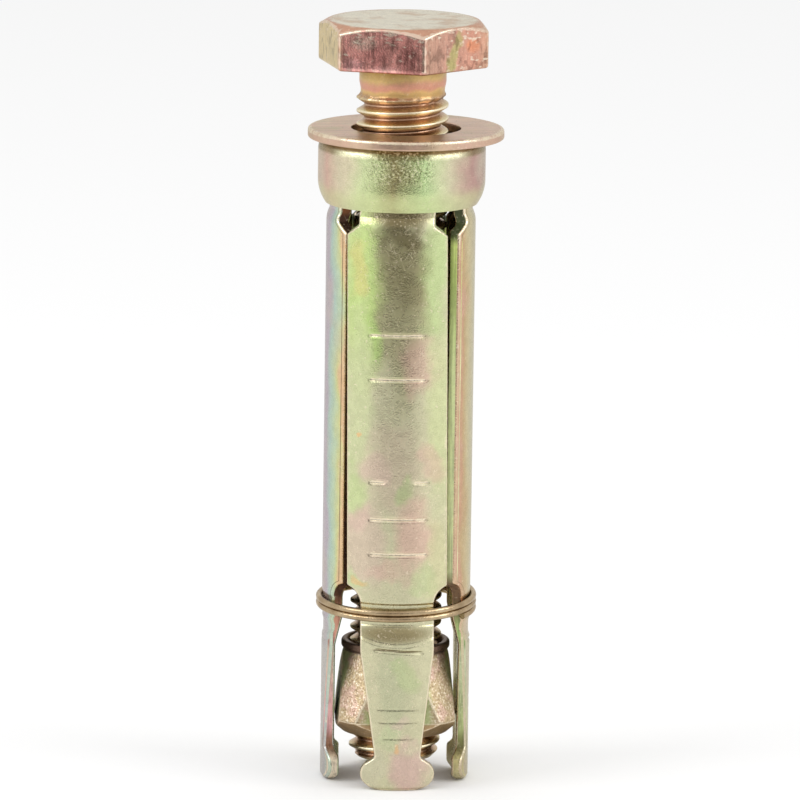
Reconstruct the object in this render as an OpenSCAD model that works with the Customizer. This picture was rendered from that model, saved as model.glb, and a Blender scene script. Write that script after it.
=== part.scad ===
// A shield anchor with its bolt: four pressed segments hang from a cup ferrule, a spring ring
// holds them together, and a cone nut drawn up by the bolt spreads them.
// Millimetres, +Z up. The four feet stand on z = 0, the axis is Z and the front faces -Y.

/* [Bolt] */
// Outside diameter of the thread
bolt_d = 11.95; // [11.5:0.05:12.1]
// Height of the bolt's end over the feet
bolt_tip_z = 2.85; // [1.5:0.05:5]
// Diameter of the plain neck under the head
bolt_neck_d = 11.3; // [10.6:0.1:11.5]
// Length of the plain neck under the head
bolt_neck_len = 3.4; // [2:0.2:5]
// Width of the head across its flats, as a share of the thread's outside diameter
head_share = 1.665; // [1.5:0.005:1.7]
// Height of the head
head_h = 5.8; // [5:0.2:8]
// Turn of the head about the axis, in degrees
head_turn = 43.8; // [0:0.2:60]
// Diameter of the flat on top of the head, as a share of the width across flats
head_flat_share = 0.98; // [0.9:0.01:0.99]
// Slope of the head's chamfer, in degrees
head_chamfer_deg = 30; // [20:1:35]
// Radius of the fillet between head and neck
neck_fillet = 0.6; // [0.2:0.1:1]
// Length of the chamfer at the bolt's end
tip_chamfer = 1; // [0.5:0.1:1.5]

/* [Washer] */
// Outside diameter of the washer
washer_d = 25.5; // [24:0.5:28]
// Thickness of the washer
washer_t = 1.25; // [1:0.05:2]
// Radial play of the washer around the bolt
washer_play = 1.15; // [0.9:0.05:1.4]
// How far the loose washer lies to the right of the axis
washer_shift = 0.5; // [0:0.05:0.5]
// Chamfer on the washer's edges
washer_chamfer = 0.15; // [0.05:0.05:0.3]
// Free height between the washer and the head
grip_gap = 8.3; // [5:0.1:9.5]

/* [Ferrule] */
// How far the ferrule stands proud of the shield's body
ferrule_proud = 1.175; // [1.175:0.025:1.5]
// Height of the ferrule
ferrule_h = 8.5; // [8:0.1:10]
// Wall of the ferrule
ferrule_t = 1; // [0.8:0.05:1.05]
// Thickness of the ferrule's top
plate_t = 1.3; // [1:0.1:1.6]
// Height of the lip that the segments' heads rest on
lip_h = 1.3; // [1:0.1:1.6]
// Height of the rounded part that turns in at the bottom
curl_h = 3.1; // [2.6:0.1:3.6]
// How far the rounded part turns in
curl_in = 1; // [0.7:0.05:1.1]
// Radius of the top edge
ferrule_round = 0.4; // [0.2:0.1:0.8]
// Radial play of the ferrule's hole around the bolt
ferrule_play = 2; // [1.7:0.05:2]

/* [Shield] */
// Radial room between the bolt and the segments
shield_play = 2.425; // [2.3:0.025:2.5]
// Thickness of the segments' sheet
wall_t = 1.3; // [1:0.05:1.4]
// Width of the slots between the segments
slot_w = 0.8; // [0.6:0.1:1.2]
// Height of the body's lower shoulder over the feet
body_low_z = 27; // [26.6:0.1:28]
// Height of the body's top edge over the feet
body_top_z = 75.5; // [72:0.5:77]
// Height over which the body's top rounds in to the neck
body_round_h = 1.6; // [0.8:0.1:2]
// Turn of the right segment about the axis, in degrees
right_turn = 4; // [0:0.5:4]
// Turn of the back segment about the axis, in degrees
back_turn = 2.5; // [0:0.5:4]
// Turn of the left segment about the axis, in degrees
left_turn = 1.5; // [0:0.5:4]

/* [Segment neck] */
// Width of the neck under the ferrule
neck_w = 9.8; // [8:0.1:10]
// How far the neck steps in from the body
neck_set = 0.4; // [0.3:0.05:0.5]
// Height of the neck that shows under the ferrule
neck_show = 0.8; // [0.5:0.1:1.5]
// Depth of the notches beside the neck, under the body's top edge
notch_h = 2.5; // [2:0.1:3]
// Slope of the notches' lower side, in degrees
notch_deg = 40; // [30:1:50]
// Radius of the notches' inner corners
notch_r = 0.5; // [0.3:0.1:0.8]

/* [Segment leg] */
// Width of the upper leg
leg_w = 9.6; // [8.6:0.1:9.8]
// Radius of the corners between body and leg
shoulder_r = 2.4; // [1.8:0.1:2.4]
// Height where the leg starts to taper
taper_z = 18.4; // [18:0.1:19]
// Width at the waist over the foot
waist_w = 6; // [5:0.1:7]
// Width of the foot across its ears
foot_w = 9.7; // [8.5:0.1:9.8]
// Height of the foot, up to the waist
foot_h = 4.45; // [4.2:0.05:4.8]
// Radius of the foot's ears
ear_r = 2; // [1.6:0.1:2]
// How far the leg's inside is flattened in from the middle of the wall
leg_in = 0.5; // [0.4:0.05:0.6]
// How far the foot's flat stands in from the leg's flat
foot_in = 0.65; // [0.5:0.05:0.8]
// Height of the ramp over the leg's flat
ramp_h = 5; // [4.5:0.1:5.5]
// How far the ramp comes in
ramp_in = 1.2; // [1:0.05:1.4]
// Chamfer on the foot's outer edge
foot_chamfer = 0.5; // [0.2:0.1:0.8]

/* [Ring] */
// Diameter of the ring's wire
wire_d = 0.83; // [0.7:0.01:0.9]
// Height of the ring's middle over the feet
ring_z = 23.35; // [23.3:0.05:23.6]
// Depth of the groove that the ring lies in
groove_depth = 0.15; // [0.1:0.05:0.2]
// Height of the groove
groove_h = 3.1; // [3:0.1:3.2]
// Play between the ring and the groove's floor
ring_play = 0.12; // [0.05:0.01:0.15]
// Where the wire's lower end shows, in degrees from the right towards the front
wire_end_deg = 31; // [0:1:60]
// How far the wire's third turn goes round, in degrees
wire_lap_deg = 80; // [40:5:120]

/* [Nut] */
// Height of the nut's lower face over the feet
nut_z = 6.4; // [6:0.1:6.6]
// Height of the nut
nut_h = 12; // [11.6:0.1:12.1]
// Wall of the nut between its bore and the cone's upper end
nut_wall = 0.725; // [0.6:0.025:0.9]
// How far the round collar on top of the nut stands proud of the cone
collar_proud = 0.35; // [0.2:0.05:0.5]
// Height of the collar
collar_h = 1.1; // [0.8:0.1:1.4]
// Radius of the collar's edges
collar_round = 0.35; // [0.2:0.05:0.4]
// How far the cone's lower corners lie inside the shield's outside
corner_in = 0.2; // [0.1:0.05:0.5]
// Height of the chamfer under the cone
nut_chamfer_h = 2.1; // [1.6:0.1:2.4]
// Width of the nut's lower face around the bore
nut_face_w = 1.075; // [0.8:0.025:1.5]
// Slope of the flats against the axis, in degrees
nut_flat_deg = 5.1; // [4:0.1:6]
// Turn of the nut between the legs, in degrees
nut_turn = 3.5; // [0:0.5:4]

/* [Fits] */
// Play between the nut's flats and the legs, at the cone's lower edge
nut_play = 0.35; // [0.35:0.05:0.5]
// Radial running play of the bolt in the nut
thread_play = 0.05; // [0.02:0.01:0.1]
// Radial play of the segments' necks in the ferrule's lip
lip_play = 0.15; // [0.1:0.01:0.2]
// Play of the segments' heads in the ferrule
head_play = 0.15; // [0.1:0.01:0.2]

/* [Hidden] */
$fn = 96;
wire_fn = 24;
big = 60;
bolt_r = bolt_d / 2;
inner_r = bolt_r + shield_play;
shield_r = inner_r + wall_t;
shield_d = shield_r * 2;
neck_out_r = shield_r - neck_set;
neck_in_r = neck_out_r - wall_t;
lip_r = neck_out_r + lip_play;
ferrule_r = shield_r + ferrule_proud;
chamber_r = ferrule_r - ferrule_t;
ferrule_z = body_top_z + neck_show;
ferrule_top_z = ferrule_z + ferrule_h;
plate_z = ferrule_top_z - plate_t;
lip_z = ferrule_z + lip_h;
curl_z = ferrule_z + curl_h;
curl_r = (pow(curl_h, 2) + pow(curl_in, 2)) / (2 * curl_in);
body_round_z = body_top_z - body_round_h;
body_round_r = (pow(body_round_h, 2) + pow(neck_set, 2)) / (2 * neck_set);
head_z = lip_z + head_play;
head_top_z = plate_z - head_play;
head_r = chamber_r - head_play;
notch_z = body_top_z - notch_h;
slot_start = slot_w / sqrt(2);
slot_x = (sqrt(2 * pow(shield_r, 2) - pow(slot_start, 2)) - slot_start) / 2;
notch_knee_z = notch_z + (slot_x - neck_w / 2) * tan(notch_deg);
washer_top_z = ferrule_top_z + washer_t;
bolt_head_z = washer_top_z + grip_gap;
bolt_neck_z = bolt_head_z - bolt_neck_len;
head_af = bolt_d * head_share;
head_corner_r = head_af / 2 / cos(30);
head_flat_r = head_flat_share * head_af / 2;
head_drop = (head_corner_r - head_flat_r) * tan(head_chamfer_deg);
ear_x = foot_w / 2 - ear_r;
ear_slope_x = ear_x + ear_r * cos(45);
ear_slope_z = ear_r + ear_r * sin(45);
groove_r = shield_r - groove_depth;
ring_r = groove_r + ring_play + wire_d / 2;
wire_overlap = wire_d * 0.05;
coil_step = wire_d - wire_overlap;
nut_top_z = nut_z + nut_h;
collar_z = nut_top_z - collar_h;
cone_low_z = nut_z + nut_chamfer_h;
leg_flat = inner_r - leg_in;
foot_flat = leg_flat - foot_in;
nut_flat = leg_flat - nut_play;
nut_bore_r = bolt_r + thread_play;
nut_bore_chamfer = nut_face_w * 0.28;
nut_face_r = nut_bore_r + nut_face_w;
cone_top_r = nut_bore_r + nut_wall;
cone_low_r = shield_r - corner_in;
collar_r = cone_top_r + collar_proud;
right_deg = 90 + right_turn;
back_deg = 180 + back_turn;
left_deg = 270 + left_turn;

// The bolt: a chamfered hexagon on a round shank, which is drawn at the thread's outside
module hex_bolt() {
    color("goldenrod") {
        bolt_head();
        rotate_extrude() bolt_shank_half();
    }
}

module bolt_head() {
    intersection() {
        translate([0, 0, bolt_head_z])
            rotate([0, 0, head_turn])
                cylinder(h = head_h, r = head_corner_r, $fn = 6);
        rotate_extrude() bolt_head_half();
    }
}

module bolt_head_half() {
    polygon([
        [0, bolt_head_z],
        [head_corner_r, bolt_head_z],
        [head_corner_r, bolt_head_z + head_h - head_drop],
        [head_flat_r, bolt_head_z + head_h],
        [0, bolt_head_z + head_h]
    ]);
}

module bolt_shank_half() {
    step = bolt_r - bolt_neck_d / 2;
    polygon([
        [0, bolt_tip_z],
        [bolt_r - tip_chamfer, bolt_tip_z],
        [bolt_r, bolt_tip_z + tip_chamfer],
        [bolt_r, bolt_neck_z],
        [bolt_neck_d / 2, bolt_neck_z + step],
        [bolt_neck_d / 2, bolt_head_z + head_h / 2],
        [0, bolt_head_z + head_h / 2]
    ]);
    difference() {
        translate([0, bolt_head_z - neck_fillet])
            square([bolt_neck_d / 2 + neck_fillet, neck_fillet]);
        translate([bolt_neck_d / 2 + neck_fillet, bolt_head_z - neck_fillet])
            circle(r = neck_fillet);
    }
}

// The washer lies loose on the ferrule, a little to one side
module flat_washer() {
    hole_r = bolt_r + washer_play;
    rim_r = washer_d / 2;
    color("tan")
        translate([washer_shift, 0, ferrule_top_z])
            rotate_extrude()
                polygon([
                    [hole_r, 0],
                    [rim_r - washer_chamfer, 0],
                    [rim_r, washer_chamfer],
                    [rim_r, washer_t - washer_chamfer],
                    [rim_r - washer_chamfer, washer_t],
                    [hole_r, washer_t]
                ]);
}

// The ferrule: a drawn cup with a hole in its top, its lower edge turned in under the segments' heads
module ferrule() {
    color("palegoldenrod") rotate_extrude() ferrule_half();
}

module ferrule_half() {
    difference() {
        ferrule_outside();
        translate([0, lip_z]) square([chamber_r, plate_z - lip_z]);
        translate([0, ferrule_z]) square([lip_r, lip_h]);
        translate([0, plate_z]) square([bolt_r + ferrule_play, plate_t]);
    }
}

module ferrule_outside() {
    translate([0, curl_z]) square([ferrule_r, ferrule_h - curl_h - ferrule_round]);
    translate([0, curl_z]) square([ferrule_r - ferrule_round, ferrule_h - curl_h]);
    translate([ferrule_r - ferrule_round, ferrule_top_z - ferrule_round]) circle(r = ferrule_round);
    intersection() {
        translate([0, ferrule_z]) square([ferrule_r, curl_h]);
        union() {
            translate([ferrule_r - curl_r, curl_z]) circle(r = curl_r);
            square([ferrule_r - curl_r, ferrule_top_z]);
        }
    }
}

// The four segments are one pressing, each with its own turn about the axis
module segment_front() {
    color("khaki") segment();
}

module segment_right() {
    color("palegoldenrod") rotate([0, 0, right_deg]) segment();
}

module segment_back() {
    color("khaki") rotate([0, 0, back_deg]) segment();
}

module segment_left() {
    color("palegoldenrod") rotate([0, 0, left_deg]) segment();
}

// One segment: the curled wall, cut to its sector and to the outline of the blank, flat inside the leg
module segment() {
    difference() {
        intersection() {
            rotate_extrude() segment_wall();
            segment_sector();
            rotate([90, 0, 0]) linear_extrude(height = shield_d) segment_outline();
        }
        translate([big / 2, 0, 0])
            rotate([90, 0, -90])
                linear_extrude(height = big) leg_inside();
    }
}

// The wall in half section, from the foot up to the head that hangs in the ferrule
module segment_wall() {
    difference() {
        segment_outside_half();
        segment_inside_half();
        ring_groove_half();
        foot_chamfer_half();
    }
}

module segment_outside_half() {
    square([shield_r, body_round_z]);
    intersection() {
        square([shield_r, body_top_z]);
        translate([shield_r - body_round_r, body_round_z]) circle(r = body_round_r);
    }
    translate([0, body_round_z]) square([neck_out_r, head_top_z - body_round_z]);
    translate([0, head_z]) square([head_r, head_top_z - head_z]);
}

module segment_inside_half() {
    polygon([
        [0, 0],
        [inner_r, 0],
        [inner_r, body_round_z],
        [neck_in_r, body_top_z],
        [neck_in_r, head_top_z],
        [0, head_top_z]
    ]);
}

module foot_chamfer_half() {
    polygon([
        [shield_r - foot_chamfer, 0],
        [shield_r + foot_chamfer, 0],
        [shield_r + foot_chamfer, foot_chamfer * 2]
    ]);
}

module ring_groove_half() {
    polygon([
        [shield_r, ring_z - groove_h / 2],
        [shield_r + groove_depth, ring_z - groove_h / 2 - groove_depth],
        [shield_r + groove_depth, ring_z + groove_h / 2 + groove_depth],
        [shield_r, ring_z + groove_h / 2],
        [groove_r, ring_z + groove_h / 2 - groove_depth],
        [groove_r, ring_z - groove_h / 2 + groove_depth]
    ]);
}

// The sector between two slots whose faces run beside the diagonals
module segment_sector() {
    linear_extrude(height = big * 2)
        polygon([[0, -slot_start], [big, -slot_start - big], [-big, -slot_start - big]]);
}

// The blank seen from the front: neck, body, leg, waist and foot
module segment_outline() {
    half = shield_d;
    difference() {
        translate([-half, ear_r]) square([half * 2, head_top_z]);
        for (side = [-1, 1]) scale([side, 1]) outline_cuts();
    }
    for (side = [-1, 1]) scale([side, 1]) foot_half();
}

module outline_cuts() {
    notch_cut();
    shoulder_cut();
    polygon([
        [leg_w / 2, taper_z],
        [waist_w / 2, foot_h],
        [waist_w / 2, 0],
        [shield_d, 0],
        [shield_d, taper_z]
    ]);
}

// Half of the foot: a round ear with a slope from its top to the waist
module foot_half() {
    square([ear_x, ear_r * 2]);
    translate([ear_x, ear_r]) circle(r = ear_r);
    polygon([[0, ear_r], [ear_x, ear_r], [ear_slope_x, ear_slope_z], [waist_w / 2, foot_h], [0, foot_h]]);
}

// What is cut away beside the neck: straight down, then a slope out to the slot
module notch_cut() {
    x = neck_w / 2;
    mid_z = notch_knee_z + notch_r * (1 - sin(notch_deg)) / cos(notch_deg);
    polygon([
        [x, mid_z],
        [x, big * 2],
        [shield_d, big * 2],
        [shield_d, notch_knee_z - (shield_d - x) * tan(notch_deg)],
        [x + notch_r - notch_r * sin(notch_deg), mid_z - notch_r * cos(notch_deg)]
    ]);
    translate([x + notch_r, mid_z]) circle(r = notch_r);
}

// What is cut away beside the leg, with a round corner under the body's shoulder
module shoulder_cut() {
    x = leg_w / 2;
    z = body_low_z - shoulder_r;
    translate([x + shoulder_r, z]) circle(r = shoulder_r);
    translate([x, -big]) square([big, big + z]);
    translate([x + shoulder_r, -big]) square([big, big + body_low_z]);
}

// What is pressed flat inside the leg, seen from the side: foot, leg and the ramp over it
module leg_inside() {
    polygon([
        [0, 0],
        [foot_flat, 0],
        [foot_flat, foot_h],
        [leg_flat, foot_h],
        [leg_flat, taper_z],
        [leg_flat - ramp_in, taper_z + ramp_h],
        [0, taper_z + ramp_h]
    ]);
}

// The ring: turns of spring wire that lie on each other in the segments' groove, the lowest one short
module retaining_ring() {
    color("darkgoldenrod") {
        translate([0, 0, ring_z + coil_step / 2]) ring_turn(360);
        translate([0, 0, ring_z - coil_step / 2]) ring_turn(360);
        translate([0, 0, ring_z - coil_step * 1.5]) ring_turn(wire_lap_deg);
    }
}

module ring_turn(sweep_deg) {
    rotate([0, 0, -wire_end_deg])
        rotate_extrude(angle = sweep_deg)
            translate([ring_r, 0])
                circle(d = wire_d, $fn = wire_fn);
}

// The cone nut: a turned cone with four sloping flats for the legs and a round collar on top
module cone_nut() {
    color("peru") rotate([0, 0, nut_turn])
        difference() {
            union() {
                difference() {
                    rotate_extrude() nut_cone_half();
                    for (side = [0 : 90 : 270]) rotate([0, 0, side]) nut_flat_cut();
                }
                rotate_extrude() nut_collar_half();
            }
            rotate_extrude() nut_bore_half();
        }
}

module nut_cone_half() {
    polygon([
        [0, nut_z],
        [nut_face_r, nut_z],
        [cone_low_r, cone_low_z],
        [cone_top_r, collar_z],
        [cone_top_r, collar_z + collar_h / 2],
        [0, collar_z + collar_h / 2]
    ]);
}

module nut_collar_half() {
    translate([0, collar_z]) square([collar_r - collar_round, collar_h]);
    translate([0, collar_z + collar_round]) square([collar_r, collar_h - collar_round * 2]);
    for (z = [collar_z + collar_round, nut_top_z - collar_round])
        translate([collar_r - collar_round, z]) circle(r = collar_round);
}

module nut_bore_half() {
    wide_r = nut_bore_r + nut_bore_chamfer;
    polygon([
        [0, nut_z],
        [wide_r, nut_z],
        [nut_bore_r, nut_z + nut_bore_chamfer],
        [nut_bore_r, nut_top_z - nut_bore_chamfer],
        [wide_r, nut_top_z],
        [0, nut_top_z]
    ]);
}

module nut_flat_cut() {
    translate([0, -nut_flat, cone_low_z])
        rotate([-nut_flat_deg, 0, 0])
            translate([-cone_low_r, -cone_low_r * 2, -nut_h])
                cube([cone_low_r * 2, cone_low_r * 2, nut_h * 3]);
}

hex_bolt();
flat_washer();
ferrule();
segment_front();
segment_right();
segment_back();
segment_left();
retaining_ring();
cone_nut();
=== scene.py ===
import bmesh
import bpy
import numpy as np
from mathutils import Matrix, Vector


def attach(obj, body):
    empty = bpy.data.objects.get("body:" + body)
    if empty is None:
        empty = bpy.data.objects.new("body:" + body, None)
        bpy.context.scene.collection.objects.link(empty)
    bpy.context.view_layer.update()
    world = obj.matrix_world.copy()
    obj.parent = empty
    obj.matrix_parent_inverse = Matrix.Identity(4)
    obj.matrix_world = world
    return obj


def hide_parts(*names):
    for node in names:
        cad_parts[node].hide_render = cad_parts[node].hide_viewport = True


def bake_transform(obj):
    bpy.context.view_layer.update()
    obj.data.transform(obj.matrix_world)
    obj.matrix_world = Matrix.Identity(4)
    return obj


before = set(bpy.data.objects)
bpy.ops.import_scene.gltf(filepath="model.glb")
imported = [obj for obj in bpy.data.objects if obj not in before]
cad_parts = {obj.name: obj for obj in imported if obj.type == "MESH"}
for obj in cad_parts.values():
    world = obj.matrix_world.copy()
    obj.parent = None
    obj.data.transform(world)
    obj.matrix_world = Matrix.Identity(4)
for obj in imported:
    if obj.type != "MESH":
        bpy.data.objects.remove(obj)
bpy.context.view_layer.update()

# %% [markdown]
# # A shield anchor with its bolt
# Four pressed segments hang from a cup ferrule. A spring ring holds them together round a bolt, and a
# cone nut on the bolt spreads them when the bolt turns. All of it is yellow zinc plated steel.
# The solids come from the frame. This lesson adds what a plain solid lacks: a real thread, rounded
# edges, coined marks, a wound wire ring, and the plating's play of colours.

MM = 0.001
print("solids in the frame:", ", ".join(sorted(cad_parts)))

# %% [markdown]
# ## From arrays to meshes
# Every new piece is a grid of points worked out with numpy in millimetres. One helper numbers the grid's
# quads, one joins several grids, and one puts points and quads into a mesh. Points that fall together, at
# poles and seams, are merged there, so the formulas may run closed without special cases.

# %% Grid and mesh helpers
def grid_quads(rows, cols, wrap_cols=False, wrap_rows=False):
    """Corner numbers of a grid's quads. A wrapped direction joins its last line to its first."""
    k = np.arange(rows * cols).reshape(rows, cols)
    if wrap_cols:
        k = np.concatenate([k, k[:, :1]], axis=1)
    if wrap_rows:
        k = np.concatenate([k, k[:1]], axis=0)
    return np.stack([k[:-1, :-1], k[:-1, 1:], k[1:, 1:], k[1:, :-1]], axis=-1).reshape(-1, 4)


def closed_quads(grid):
    """The quads of a grid that closes in both directions, like a section turned about the axis."""
    return grid_quads(*grid.shape[:2], wrap_cols=True, wrap_rows=True)


def join(grids, wraps):
    """Points and quads of several grids as one piece. Each wrap says whether that grid closes round."""
    starts = np.cumsum([0] + [g.shape[0] * g.shape[1] for g in grids])
    quads = [grid_quads(*g.shape[:2], wrap_cols=w) + start for g, w, start in zip(grids, wraps, starts)]
    return np.concatenate([g.reshape(-1, 3) for g in grids]), np.concatenate(quads)


def make_piece(name, points, quads, sharp_deg=None, rim=None):
    """A mesh object in metres: doubles merged, faces turned outwards, smooth shading.

    rim is a number for each point, kept as the attribute "rim" for the finishes.
    """
    mesh = bpy.data.meshes.new(name)
    mesh.from_pydata((points.reshape(-1, 3) * MM).tolist(), [], quads.tolist())
    if rim is not None:
        store = mesh.attributes.new("rim", "FLOAT", "POINT")
        store.data.foreach_set("value", rim.astype(np.float32).ravel())
    bm = bmesh.new()
    bm.from_mesh(mesh)
    bmesh.ops.remove_doubles(bm, verts=bm.verts, dist=1e-7)
    bmesh.ops.recalc_face_normals(bm, faces=bm.faces)
    bm.to_mesh(mesh)
    bm.free()
    mesh.shade_smooth()
    if sharp_deg is not None:
        mesh.set_sharp_from_angle(angle=np.radians(sharp_deg))
    piece = bpy.data.objects.new(name, mesh)
    bpy.context.scene.collection.objects.link(piece)
    triangles = sum(len(p.vertices) - 2 for p in mesh.polygons)
    print(f"{name}: {len(mesh.vertices)} points, {triangles} triangles")
    return piece


def circle(count):
    """That many even angles round the axis."""
    return np.arange(count) * 2 * np.pi / count


def polar(radius, angle, height):
    """Points from radius, angle and height, given as arrays that broadcast."""
    r, a, z = np.broadcast_arrays(radius, angle, height)
    return np.stack([r * np.cos(a), r * np.sin(a), z], axis=-1)


def smooth_min(a, b, k):
    """The smaller of a and b, rounded off where they differ by less than k."""
    return np.minimum(a, b) - np.maximum(k - np.abs(a - b), 0) ** 2 / (4 * k)


def step_up(x, low, high):
    """0 below low, 1 above high, and a smooth S between them."""
    t = np.clip((x - low) / (high - low), 0, 1)
    return t * t * (3 - 2 * t)


# %% [markdown]
# ## The camera
# The photo is taken from 10.5 degrees above level with a long lens, and the anchor leans by less than one
# degree in it, so the camera has that roll. The numbers come from fitting edges of the solids to the photo.

# %% Camera
CAM_DISTANCE = 1121.9 * MM
CAM_RISE = np.radians(10.5)
CAM_ROLL = np.radians(0.77)
CAM_TARGET = Vector((0.176, 0, 50.08)) * MM
LENS_PX, FRAME_PX, SENSOR = 8605.6, 800, 36.0

camera = bpy.data.objects.new("camera", bpy.data.cameras.new("camera"))
bpy.context.scene.collection.objects.link(camera)
camera.data.sensor_width = SENSOR
camera.data.lens = LENS_PX / FRAME_PX * SENSOR
camera.data.clip_start = 0.01
look = Vector((0, np.cos(CAM_RISE), -np.sin(CAM_RISE)))
camera.matrix_world = (
    Matrix.Translation(CAM_TARGET - look * CAM_DISTANCE)
    @ Matrix.Rotation(np.pi / 2 - CAM_RISE, 4, "X")
    @ Matrix.Rotation(CAM_ROLL, 4, "Z")
)
bpy.context.scene.camera = camera
print("lens:", round(camera.data.lens, 1), "mm")

# %% [markdown]
# ## The bolt
# The solid bolt has a plain shank at the thread's outside. A real thread is one profile carried along a
# helix, so the grid runs along the helix: one direction counts the angle over all turns, the other crosses
# one pitch. Heights beyond the thread's ends are held at those ends, where the merged points make a clean
# circle. Neck, fillet and head go on from there with the same number of points round the axis.

# %% Sizes of the bolt, in mm
BOLT_R, NECK_R = 5.975, 5.65
TIP_Z, THREAD_TOP_Z, HEAD_Z, HEAD_TOP_Z = 2.85, 91.0, 94.35, 100.15
PITCH, THREAD_DEPTH, TIP_CHAMFER, NECK_FILLET, NECK_HOLLOW = 1.75, 0.98, 1.0, 0.6, 0.2
START_TURN, RUN_OUT, TORN = 1.21, 1.5, 0.8
HALF_AF = 11.95 * 1.665 / 2
HEAD_FLAT_R = HALF_AF * 0.98
HEAD_TURN, HEAD_CHAMFER = np.radians(43.8), np.radians(30)
AROUND = 96


def thread_height(across):
    """0 in the root, 1 on the crest: straight flanks between a narrow crest and a rounded root."""
    root, crest = 0.86, 0.16
    return np.clip((root - 2 * np.abs(across - 0.5)) / (root - crest), 0, 1)


def thread_surface():
    """Along: angle over all turns. Across: one pitch. Height is pitch times turns, held between the ends.

    Where the thread runs out its crest fades into the neck and is torn: two waves round the axis, multiplied.
    """
    turns = int((THREAD_TOP_Z - TIP_Z) / PITCH) + 3
    across = np.array([0, 0.05, 0.1, 0.2, 0.32, 0.405, 0.44, 0.5, 0.56, 0.595, 0.68, 0.8, 0.9, 0.95])
    along = np.arange(turns * AROUND + 1) * 2 * np.pi / AROUND
    # the last column is the first one of the next turn
    s = np.append(across, 1.0)
    z = TIP_Z - START_TURN * PITCH + PITCH * (along[:, None] / (2 * np.pi) + s)
    z = np.clip(z, TIP_Z, THREAD_TOP_Z)
    full = BOLT_R - THREAD_DEPTH * (1 - thread_height(s))[None, :]
    fade = step_up(z, THREAD_TOP_Z - RUN_OUT, THREAD_TOP_Z - 0.1)
    r = full * (1 - fade) + (NECK_R - NECK_HOLLOW) * fade
    torn = np.cos(7 * along + 2.5 * np.sin(3 * along)) * np.cos(23 * along + np.sin(5 * along))
    r = r + TORN * fade * (1 - fade) * torn[:, None]
    r = np.minimum(r, BOLT_R - TIP_CHAMFER + (z - TIP_Z))
    return polar(r, along[:, None], z), np.broadcast_to(thread_height(s)[None, :], r.shape) * (1 - fade)


def head_angles():
    """Angles round the head and radii of its side: twelve on each flat, four on each rounded corner."""
    corner_r = 0.4
    reach = (HALF_AF - corner_r) / np.cos(np.pi / 6)
    flat_end = np.arctan(reach * 0.5 / HALF_AF)
    half = np.array([0.1, 0.3, 0.55, 0.8, 0.95, 1.0])
    flat = np.append(-half[::-1], half) * flat_end
    corner = np.linspace(flat_end, np.pi / 3 - flat_end, 6)[1:-1]
    beta = np.concatenate([flat, corner])
    off = np.abs(np.pi / 6 - beta)
    round_r = reach * np.cos(off) + np.sqrt(np.maximum(corner_r**2 - (reach * np.sin(off)) ** 2, 0))
    radius = np.where(beta <= flat_end + 1e-9, HALF_AF / np.cos(beta), round_r)
    sector = np.arange(6)[:, None] * np.pi / 3
    angle = (sector + beta + HEAD_TURN + np.pi / 6).ravel()
    return angle, np.tile(radius, 6)


def rounded(points, radii, steps=4):
    """A line through points (n, m, 2) with each inner corner rounded by a parabola of that reach.

    The reach is cut short where the straight beside the corner has no room for it.
    """
    room = 0.45
    rows = [points[0]]
    for last, corner, after, radius in zip(points, points[1:], points[2:], radii):
        ways = [last - corner, after - corner]
        lengths = [np.linalg.norm(way, axis=-1, keepdims=True) for way in ways]
        a, b = [corner + way * np.minimum(radius / length, room) for way, length in zip(ways, lengths)]
        rows += [(1 - t) ** 2 * a + 2 * t * (1 - t) * corner + t * t * b for t in np.linspace(0, 1, steps)]
    return np.stack([*rows, points[-1]])


def head_surface():
    """For each angle a section from the neck under the head, up its side, over the cone and inwards."""
    angle, side = head_angles()
    level = circle(AROUND)
    shift = np.argmin(np.abs(((angle + np.pi) % (2 * np.pi)) - np.pi))
    angle, side = np.roll(angle, -shift), np.roll(side, -shift)
    angle = np.unwrap(angle)
    angle -= 2 * np.pi * np.round(angle[0] / (2 * np.pi))
    cone_z = HEAD_TOP_Z - (side - HEAD_FLAT_R) * np.tan(HEAD_CHAMFER)

    def ring(r, z):
        return np.stack(np.broadcast_arrays(r, z, side)[:2], axis=-1)

    line = np.stack([
        ring(NECK_R + NECK_FILLET, HEAD_Z), ring(side, HEAD_Z), ring(side, cone_z),
        ring(HEAD_FLAT_R, HEAD_TOP_Z), ring(HEAD_FLAT_R * 0.7, HEAD_TOP_Z),
    ])
    head = rounded(line, [0.5, 0.22, 0.3], steps=5)
    inside = [head[5] + (head[6] - head[5]) * t for t in (0.05, 0.3, 0.7, 0.95)]
    head = np.concatenate([head[:6], inside, head[6:]])
    turn = np.linspace(0, np.pi / 2, 7)[:, None]
    fillet_r = NECK_R + NECK_FILLET * (1 - np.cos(turn)) + 0 * level
    fillet_z = HEAD_Z - NECK_FILLET * (1 - np.sin(turn)) + 0 * level
    mix = np.linspace(0, 1, 7)[:, None]
    rise = np.array([0, 0.25, 0.5, 0.75, 1.0, 1.3])[:, None]
    neck = polar(NECK_R - NECK_HOLLOW * (1 - step_up(rise, 0, 1.3)) + 0 * level, level, THREAD_TOP_Z + rise)
    low = polar(fillet_r, level * (1 - mix) + angle * mix, fillet_z)
    top = polar(head[..., 0], angle, head[..., 1])
    inner = [polar(HEAD_FLAT_R * share + 0 * angle, angle, HEAD_TOP_Z)[None] for share in (0.4, 0.15, 0)]
    surface = np.concatenate([neck, low, top, *inner])
    edge = np.zeros(surface.shape[:2])
    first = len(neck) + len(low)
    edge[first + 1:first + 6] = 0.5
    edge[first + 10:first + 15] = 0.9
    upright = side > side.min() + 0.9 * (side.max() - side.min())
    edge[first + 5:first + 11, upright] = 0.75
    return surface, edge


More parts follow.
